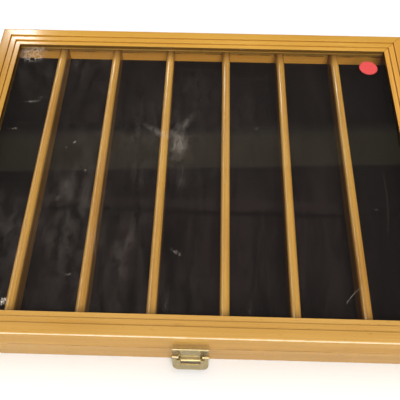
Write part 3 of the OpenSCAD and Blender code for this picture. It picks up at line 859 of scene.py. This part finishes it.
def make_screw_tree(name):
    """Slotted countersunk screws on the points given, heads at the points, shanks down."""
    given = new_shape(name, {"Head Radius": 0.0028, "Shank Radius": 0.0014, "Length": 0.013,
                             "Slot": 0.0006, "Turn Over": 0.0})
    tree, wide, thin = given.tree, given["Head Radius"], given["Shank Radius"]
    deep, core, tip = wide - thin, thin * 0.72, thin * 2.0
    straight = given["Length"] - deep - tip

    def lowered(geometry, distance):
        """The geometry moved down by a distance."""
        return add(tree, "GeometryNodeTransform",
                   {"Geometry": geometry, "Translation": xyz(z=distance * -1.0)})

    head = add(tree, "GeometryNodeMeshCone",
               {"Vertices": 32, "Radius Top": wide, "Radius Bottom": thin, "Depth": deep})
    bar = add(tree, "GeometryNodeMeshCube",
              {"Size": xyz(wide * 2.4, given["Slot"], deep * 0.9)})
    slotted = add(tree, "GeometryNodeMeshBoolean",
                  {"Mesh 1": lowered(head, deep), "Mesh 2": bar}, operation="DIFFERENCE")
    shank = add(tree, "GeometryNodeMeshCylinder",
                {"Vertices": 16, "Radius": core, "Depth": straight})
    point = add(tree, "GeometryNodeMeshCone",
                {"Vertices": 16, "Radius Top": core, "Radius Bottom": 0.0002, "Depth": tip})
    helix = add(tree, "GeometryNodeCurveSpiral",
                {"Resolution": 14, "Rotations": straight / (thin * 0.75), "Start Radius": core,
                 "End Radius": core, "Height": straight})
    ridge = add(tree, "GeometryNodeCurvePrimitiveCircle",
                {"Resolution": 3, "Radius": thin * 0.24}, mode="RADIUS")
    thread = add(tree, "GeometryNodeCurveToMesh",
                 {"Curve": helix, "Profile Curve": ridge, "Fill Caps": True})
    whole = add(tree, "GeometryNodeJoinGeometry", {})
    for part in (lowered(thread, straight + deep), lowered(point, given["Length"]),
                 lowered(shank, mul_add(straight, 0.5, deep)), slotted):
        feed(whole.socket.node.inputs[0], part)
    flipped = add(tree, "GeometryNodeTransform",
                  {"Geometry": whole, "Rotation": xyz(given["Turn Over"] * math.pi)})
    turn = add(tree, "FunctionNodeRandomValue", {"Min": 0.0, "Max": math.pi, "Seed": 7},
               data_type="FLOAT")
    turn = Wire(next(socket for socket in turn.socket.node.outputs if socket.enabled))
    return repeated(given, given["Geometry"], flipped, Rotation=xyz(z=turn))


def add_screws(name, points, sizes, over, material, body, node):
    """A piece of like screws in place of a node. sizes are head and shank radius and length."""
    head, shank, long = sizes
    mesh = grown(name, points, shared("Countersunk Screws", make_screw_tree),
                 {"Head Radius": head, "Shank Radius": shank, "Length": long,
                  "Slot": bpy.context.scene.display_case_metal.slot, "Turn Over": over,
                  "Material": material})
    new_piece(name, mesh, body, [node])


# The cloth's pressed folds, in metres: where each crosses the middle, its slope, its depth
FOLDS = ((-0.0333, -0.002, 1.0), (0.0710, -0.01, 0.8), (0.0135, 0.01, 0.25),
         (-0.1010, -0.015, 0.35))
CLEARANCE = 0.0004      # from a divider's side to where the cloth may lift
RUN_OUT = 0.007         # from there to where it lifts freely
UNDER = 0.00005         # between the cloth and the floor panel
FULL_LIFT = 1.6         # brings the usual cloth_height, 0.62, up to the whole lift


def held_within(value):
    """A value held between nothing and one."""
    return max(0.0, min(1.0, value))


def cloth_height(x, y, low, high, fold_width):
    """How far the laid cloth stands off its lowest place, as a share of its lift.

    The cloth lies flat under each divider and along the walls. Between them it lifts a little,
    and dips again along its pressed folds.
    """
    half = DIVIDER_WIDTH / 2 + CLEARANCE
    clear = min([abs(x - middle) - half for middle in DIVIDER_MIDDLES]
                + [x - low[0], high[0] - x, y - low[1] + 0.001, high[1] - y + 0.001])
    free = held_within(clear / RUN_OUT)
    free = free * free * (3 - 2 * free)
    wander = 0.0012 * noise.noise(Vector((x * 14, 3.1, 0)))
    dip = 0.0
    for at, slope, deep in FOLDS:
        gap = abs(y - at - slope * x - wander) / fold_width
        dip = max(dip, deep * math.exp(-gap * gap * (1 if gap < 1 else 0.7)))
    bend = 0.9 * noise.noise(Vector((x * 9, y * 9, 5)))
    ripple = noise.noise(Vector((x * 95, y * 11 + bend, 0)))
    slow = noise.noise(Vector((x * 28, y * 9, 7.7)))
    front = held_within((0.0 - y) / 0.06)
    return free * max(0.0, (0.62 + 0.30 * slow + (0.16 + 0.30 * front) * ripple) * (1 - dip))


def cloth_mesh(name, low, high):
    """The cloth's upper side as a grid that follows cloth_height."""
    cloth = bpy.context.scene.display_case_cloth
    columns, rows = (round((high[axis] - low[axis]) / cloth.cell) for axis in (0, 1))
    points = []
    for row in range(rows + 1):
        y = low[1] + (high[1] - low[1]) * row / rows
        for column in range(columns + 1):
            x = low[0] + (high[0] - low[0]) * column / columns
            lift = cloth_height(x, y, low, high, cloth.fold_width) * cloth.lift
            points.append((x, y, low[2] + cloth.thickness + UNDER + lift * FULL_LIFT))
    wide = columns + 1
    faces = [(r * wide + c, r * wide + c + 1, (r + 1) * wide + c + 1, (r + 1) * wide + c)
             for r in range(rows) for c in range(columns)]
    mesh = bpy.data.meshes.new(name)
    mesh.from_pydata(points, [], faces)
    mesh.shade_smooth()
    return mesh


# Sizes of small pieces, in metres. A screw's are its head radius, shank radius and length.
FLOOR_SCREW = (0.0028, 0.0014, 0.0130)
HINGE_SCREW = (0.0021, 0.0011, 0.0090)
SUNK = 0.0001           # from the seam to a hinge screw's head
DOT_GAP = 0.00001       # from the glass to the paper dot
DOT_CURL = 0.00012      # how far the dot's loose edge lifts
DOT_SIDES = 64
# The dot's rings, from the middle out: shares of its radius and of its thickness
DOT_RINGS = ((0.6, 1.0), (0.9, 1.0), (0.985, 0.9), (1.0, 0.4), (1.0, 0.0))

# The stage, in metres. The last three are directions that light comes from.
FLOOR_RADIUS = 6.0
FLOOR_DROP = 0.0001                         # from the case's underside to the floor
BACK_CORNER = (-0.192, 0.167, 0.0465)       # where the moulding mirrors the small panel
PANEL_SIZE, PANEL_AWAY = (0.085, 0.045), 1.6
KEY_FROM = (0.12, -0.75, 1.0)
GLOW_FROM = (0.095, -0.597, 0.796)
OVERHEAD_FROM = (0.12, 0.30, 0.946)


# Operators

class DISPLAYCASE_OT_case_wood(Operator):
    """Varnish the base rails, the lid's stepped mouldings and the glass stops"""
    bl_idname = "display_case.case_wood"
    bl_label = "Varnish Frame"

    def execute(self, context):
        wood = context.scene.display_case_wood
        for k, name in enumerate(BASE_RAILS + LID_MOULDINGS + GLASS_STOPS):
            along = "X" if "front" in name or "back" in name else "Y"
            shift = (730.0 * k + 90, 41.0 * k + 7, 23.0 * k)
            red, green, blue = LENGTH_TONES.get(name, (1.0, 1.0, 1.0))
            pale, dark = ((red * tone[0], green * tone[1], blue * tone[2], 1)
                          for tone in (wood.pale, wood.dark))
            # The arris is rubbed paler, most on the front moulding: worn varnish and a painted
            # highlight.
            rubbed = (0.9 if "front" in name else 0.15) if name in LID_MOULDINGS else None
            shine, coat = (0.4, 0.3) if name in BASE_RAILS else (0.12, 0.07)
            dress([name], wood_material(f"case_wood_{name}", along, shift, pale, dark,
                                        rubbed, shine=shine, coat=coat))
        return {"FINISHED"}


class DISPLAYCASE_OT_floor_board(Operator):
    """Give the floor panel its bare plywood"""
    bl_idname = "display_case.floor_board"
    bl_label = "Floor Panel"

    def execute(self, context):
        dress(["floor_panel"], board_material())
        return {"FINISHED"}


class DISPLAYCASE_OT_dividers(Operator):
    """Set the row of round-topped dividers on the cloth"""
    bl_idname = "display_case.dividers"
    bl_label = "Dividers"

    def execute(self, context):
        wood, row = context.scene.display_case_wood, context.scene.display_case_dividers
        low, high = around(DIVIDERS)
        start = ((low.x + high.x) / 2, (low.y + high.y) / 2, high.z - row.width / 2)
        finish = wood_material("divider_wood", "Y", (19, 300, 5), tuple(wood.divider_pale),
                               tuple(wood.divider_dark), ends=(low.y, high.y, high.z),
                               gloss=0.15, shine=0.5)
        mesh = grown("divider_row", [start], shared("Divider Row", make_divider_tree),
                     {"Count": row.count, "Pitch": row.pitch, "Width": row.width,
                      "Height": row.height, "Length": high.y - low.y,
                      "Middle Extra": row.extra, "Material": finish})
        new_piece("divider_row", mesh, "base", DIVIDERS)
        return {"FINISHED"}


class DISPLAYCASE_OT_cloth(Operator):
    """Lay the creased black cloth on the floor of the tray"""
    bl_idname = "display_case.cloth"
    bl_label = "Black Cloth"

    def execute(self, context):
        low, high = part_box("lining")
        mesh = cloth_mesh("floor_cloth", low, high)
        mesh.materials.append(cloth_material())
        piece = new_piece("floor_cloth", mesh, "base", ["lining"])
        thick = piece.modifiers.new("Thickness", "SOLIDIFY")
        thick.thickness, thick.offset = context.scene.display_case_cloth.thickness, -1
        return {"FINISHED"}


class DISPLAYCASE_OT_glass(Operator):
    """Put the film, hand marks and scratches on the glass"""
    bl_idname = "display_case.glass"
    bl_label = "Worn Glass"

    def execute(self, context):
        dress(["glass_pane"], glass_material())
        return {"FINISHED"}


class DISPLAYCASE_OT_brass(Operator):
    """Finish the latch and the hinges in worn brass"""
    bl_idname = "display_case.brass"
    bl_label = "Brass"

    def execute(self, context):
        metal = context.scene.display_case_metal
        for names, name, wear, gloss in ((LATCH_PARTS, "latch_brass", 0.35, 0.28),
                                         (HINGE_LEAVES, "hinge_brass", 0.75, 0.26)):
            dress(names, metal_material(name, metal.brass, metal.tarnish, wear, gloss))
        return {"FINISHED"}


class DISPLAYCASE_OT_screws(Operator):
    """Drive the floor and hinge screws, and give the glass stops' brads the same steel"""
    bl_idname = "display_case.screws"
    bl_label = "Screws"

    def execute(self, context):
        metal = context.scene.display_case_metal
        steel = metal_material("screw_steel", metal.steel, metal.dull_steel, 0.6, 0.25)
        brass = metal_material("screw_brass", metal.brass, metal.tarnish, 0.6, 0.22)
        low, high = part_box("divider_screws")
        points = [(x, y, low[2]) for x in DIVIDER_MIDDLES
                  for y in (low[1] + FLOOR_SCREW[0], high[1] - FLOOR_SCREW[0])]
        add_screws("floor_screws", points, FLOOR_SCREW, 1.0, steel, "base",
                   "divider_screws")
        for body, into, over in (("base", -1, 0.0), ("lid", 1, 1.0)):
            node = f"hinge_{body}_screws"
            low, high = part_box(node)
            points = []
            for side in ("left", "right"):
                start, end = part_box(f"hinge_{side}_base_leaf")
                centre, third = (start[0] + end[0]) / 2, (end[0] - start[0]) / 3
                points += [(centre + k * third, (low[1] + high[1]) / 2, SEAM + into * SUNK)
                           for k in (-1, 0, 1)]
            add_screws(f"{node}_driven", points, HINGE_SCREW, over, brass, body, node)
        dress(["glass_stop_brads"], steel)
        return {"FINISHED"}


class DISPLAYCASE_OT_dot(Operator):
    """Stick the bare paper dot on the glass"""
    bl_idname = "display_case.dot"
    bl_label = "Paper Dot"

    def execute(self, context):
        dot = context.scene.display_case_dot
        shape = bmesh.new()
        centre = Vector((dot.across, MIDDLE.y + dot.along, GLASS_TOP + DOT_GAP))
        loops = []
        for share, up in DOT_RINGS:
            loops.append([])
            for k in range(DOT_SIDES):
                turn = 2 * math.pi * k / DOT_SIDES
                radius = share * dot.diameter / 2
                curl = DOT_CURL * max(0.0, share - 0.8) / 0.2 * max(0.0, math.cos(turn - 2.2))
                loops[-1].append(shape.verts.new(centre + Vector(
                    (radius * math.cos(turn), radius * math.sin(turn),
                     up * dot.thickness + curl))))
        top = shape.verts.new(centre + Vector((0, 0, dot.thickness)))
        for k in range(DOT_SIDES):
            after = (k + 1) % DOT_SIDES
            shape.faces.new((top, loops[0][k], loops[0][after]))
            for inner, outer in zip(loops, loops[1:]):
                shape.faces.new((inner[k], outer[k], outer[after], inner[after]))
        shape.faces.new(list(reversed(loops[-1])))
        mesh = bpy.data.meshes.new("paper_dot")
        shape.to_mesh(mesh)
        shape.free()
        mesh.shade_smooth()
        mesh.materials.append(paper_material())
        new_piece("paper_dot", mesh, "lid")
        return {"FINISHED"}


class DISPLAYCASE_OT_stage(Operator):
    """Set the floor, the soft lights and the camera"""
    bl_idname = "display_case.stage"
    bl_label = "Stage"

    def execute(self, context):
        stage, scene = context.scene.display_case_stage, context.scene
        self.add_floor(stage)
        self.add_lamps(stage)
        self.add_room(scene, stage)
        self.add_camera(scene, stage)
        scene.view_settings.view_transform = "Standard"
        return {"FINISHED"}

    def add_floor(self, stage):
        """A wide round floor just under the case."""
        shape = bmesh.new()
        bmesh.ops.create_circle(shape, cap_ends=True, segments=96, radius=FLOOR_RADIUS)
        bmesh.ops.translate(shape, verts=shape.verts, vec=(0, 0, -FLOOR_DROP))
        mesh = bpy.data.meshes.new("floor")
        shape.to_mesh(mesh)
        shape.free()
        material, place = new_material("pale_floor")
        shade = tuple(stage.floor)
        shade = blended(noisy(place * 0.004), shade, darker(shade, 0.97))
        glossy = add(place.tree, "ShaderNodeLightPath", {})["Is Glossy Ray"]
        mesh.materials.append(finished(material, {
            "Base Color": blended(glossy, shade, (0.5, 0.5, 0.5, 1)), "Roughness": 0.9,
            "Specular IOR Level": 0.1}))
        new_object("floor", mesh)

    def add_lamps(self, stage):
        """Soft light from the front, and a small panel that the back left corner mirrors."""
        key = bpy.data.lights.new("key", "SUN")
        key.energy, key.angle, key.color = stage.key, math.radians(36), (1.0, 0.985, 0.96)
        lamp = new_object("key", key)
        lamp.rotation_euler = Vector(KEY_FROM).to_track_quat("Z", "Y").to_euler()
        lamp.visible_glossy = False
        panel = bpy.data.lights.new("panel", "AREA")
        panel.shape, panel.energy = "RECTANGLE", stage.panel
        panel.size, panel.size_y = PANEL_SIZE
        aim = Vector(BACK_CORNER)
        seen = aim - Vector(stage.camera)
        way = Vector((seen.x, seen.y, -seen.z)).normalized()
        lamp = new_object("panel", panel)
        lamp.location = aim + PANEL_AWAY * way
        lamp.visible_diffuse = False
        lamp.rotation_euler = way.to_track_quat("Z", "Y").to_euler()

    def add_room(self, scene, stage):
        """The room: its light on the case, what the gloss mirrors, and a white backdrop."""
        scene.world = bpy.data.worlds.new("studio")
        scene.world.use_nodes = True
        tree = scene.world.node_tree
        tree.nodes.clear()
        way = add(tree, "ShaderNodeTexCoord", {})["Generated"]
        x, y, z = split(way)
        rise = greater(z, 0.02)
        lean, slope, tilted = x / rise, y / rise, mul_add(x, -0.049, y) / rise
        strip = spread(tilted, 0.723, 0.734) * fade(tilted, 0.805, 0.85)
        side = spread(abs(x), 0.0, 0.5, 1.0, 0.55)
        low = spread(z, 0.05, 0.5, 0.07, 0.045)
        left = spread(lean, -0.62, -0.9) * spread(lean, -4.0, -2.0, 0.0, stage.side)
        window = spread(slope, -1.0, -1.4) * spread(slope, -14.0, -8.0, 0.0, stage.window)
        window = window * fade(abs(x) / greater(abs(y), 0.02), 0.55, 0.7)
        glow = spread(maths("DOT_PRODUCT", way, GLOW_FROM), 0.80, 1.0, 0.0, stage.glow)
        seen = mul_add(strip * stage.strip, side, low + left + (window + glow))
        above = maths("DOT_PRODUCT", way, OVERHEAD_FROM)
        fill = (spread(x, -0.35, 0.7, 0.0, stage.fill)
                + spread(above, 0.86, 0.96, 0.0, stage.overhead))
        dim = blended(strip, (1.0, 0.86, 0.87, 1), (1.0, 0.86, 0.56, 1))
        tint = blended(spread(seen, 0.35, 1.0), dim, (1.0, 0.945, 0.85, 1))
        lit, mirrored, backdrop = (
            add(tree, "ShaderNodeBackground", {"Color": shade, "Strength": strength})
            for shade, strength in (((1.0, 0.98, 0.95, 1), fill), (tint, seen),
                                    ((1, 1, 1, 1), 1.0)))
        path = add(tree, "ShaderNodeLightPath", {})
        glossy = path["Is Glossy Ray"] * maths("LESS_THAN", path["Diffuse Depth"], 0.5)
        room = mixed(path["Is Camera Ray"], mixed(glossy, lit, mirrored), backdrop)
        feed(tree.nodes.new("ShaderNodeOutputWorld").inputs[0], room)
        arrange(tree)

    def add_camera(self, scene, stage):
        """The camera, from its place, pitch, heading and roll."""
        cos, sin = math.cos, math.sin
        forward = Vector((sin(stage.heading) * cos(stage.pitch),
                          cos(stage.heading) * cos(stage.pitch), -sin(stage.pitch)))
        right = Vector((cos(stage.heading), -sin(stage.heading), 0))
        down = forward.cross(right)
        across = cos(stage.roll) * right - sin(stage.roll) * down
        up = -(sin(stage.roll) * right + cos(stage.roll) * down)
        camera = bpy.data.cameras.new("camera")
        camera.lens, camera.sensor_width, camera.clip_start = stage.lens, 36, 0.01
        scene.camera = new_object("camera", camera)
        turn = Matrix((across, up, -forward)).transposed().to_4x4()
        scene.camera.matrix_world = Matrix.Translation(Vector(stage.camera)) @ turn


class DISPLAYCASE_PT_panel(Panel):
    """Buttons that finish the display case, in the order of the work"""
    bl_idname = "DISPLAYCASE_PT_panel"
    bl_label = "Display Case"
    bl_space_type = "VIEW_3D"
    bl_region_type = "UI"
    bl_category = "Display Case"

    def draw(self, context):
        for operator in OPERATORS:
            self.layout.operator(operator.bl_idname)
        for name, group in SETTINGS.items():
            box = self.layout.box()
            box.label(text=group.__doc__)
            for setting in group.__annotations__:
                box.prop(getattr(context.scene, name), setting)


SETTINGS = {f"display_case_{group.__name__.rsplit('_', 1)[1]}": group for group in (
    DISPLAYCASE_PG_wood, DISPLAYCASE_PG_dividers, DISPLAYCASE_PG_cloth, DISPLAYCASE_PG_glass,
    DISPLAYCASE_PG_metal, DISPLAYCASE_PG_dot, DISPLAYCASE_PG_stage)}
OPERATORS = (DISPLAYCASE_OT_stage, DISPLAYCASE_OT_case_wood, DISPLAYCASE_OT_floor_board,
             DISPLAYCASE_OT_cloth, DISPLAYCASE_OT_dividers, DISPLAYCASE_OT_glass,
             DISPLAYCASE_OT_brass, DISPLAYCASE_OT_screws, DISPLAYCASE_OT_dot)


def register():
    for kind in (*SETTINGS.values(), *OPERATORS, DISPLAYCASE_PT_panel):
        bpy.utils.register_class(kind)
    for name, group in SETTINGS.items():
        setattr(bpy.types.Scene, name, PointerProperty(type=group))


def unregister():
    for name in SETTINGS:
        delattr(bpy.types.Scene, name)
    for kind in reversed((*SETTINGS.values(), *OPERATORS, DISPLAYCASE_PT_panel)):
        bpy.utils.unregister_class(kind)


def main():
    """Finishes the case in order."""
    register()
    for operator in OPERATORS:
        group, name = operator.bl_idname.split(".")
        if getattr(getattr(bpy.ops, group), name)() != {"FINISHED"}:
            raise RuntimeError(f"{operator.bl_label} didn't finish")


if __name__ == "__main__":
    main()
